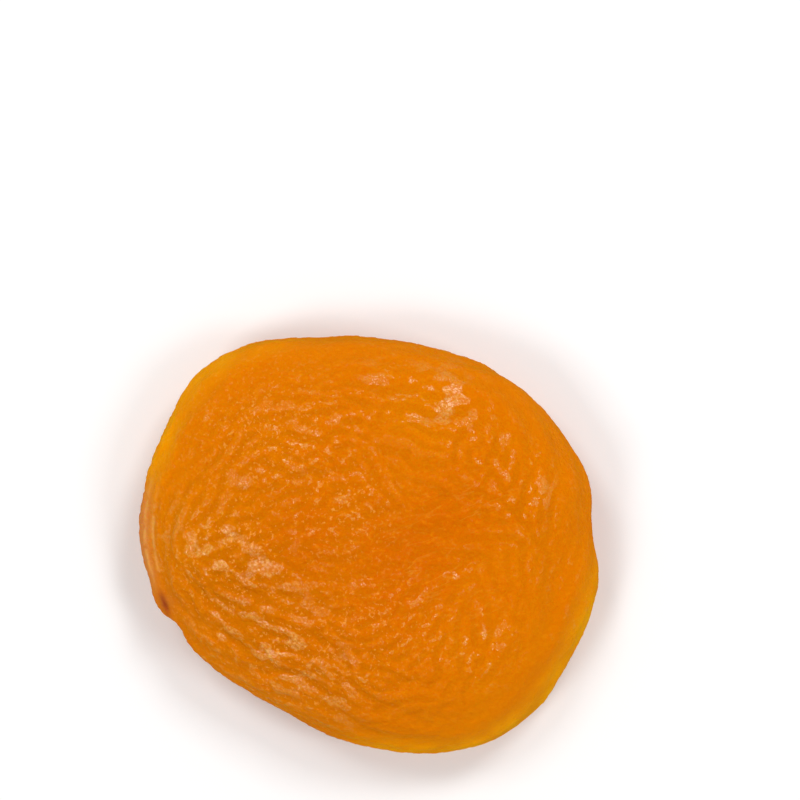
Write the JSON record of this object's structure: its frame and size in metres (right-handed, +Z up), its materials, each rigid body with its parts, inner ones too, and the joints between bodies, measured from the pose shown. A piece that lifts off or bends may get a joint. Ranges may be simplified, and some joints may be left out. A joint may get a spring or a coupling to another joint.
{
  "type": "dried apricot",
  "caption": "Whole pitted dried apricot: a flattened, puckered oval fruit with a stem scar and a thin rim, lying on its flat underside.",
  "frame": {"origin": "middle of the flat spot that the fruit lies on, below the middle of its outline", "axes": "+Z up, through the thickness; +X along the length from the stem end to the blossom end; +Y across"},
  "size_m": [0.0386, 0.035, 0.012],
  "materials": {
    "flesh": "satin"
  },
  "bodies": {
    "root": {"apricot": "flesh"}
  },
  "joints": []
}
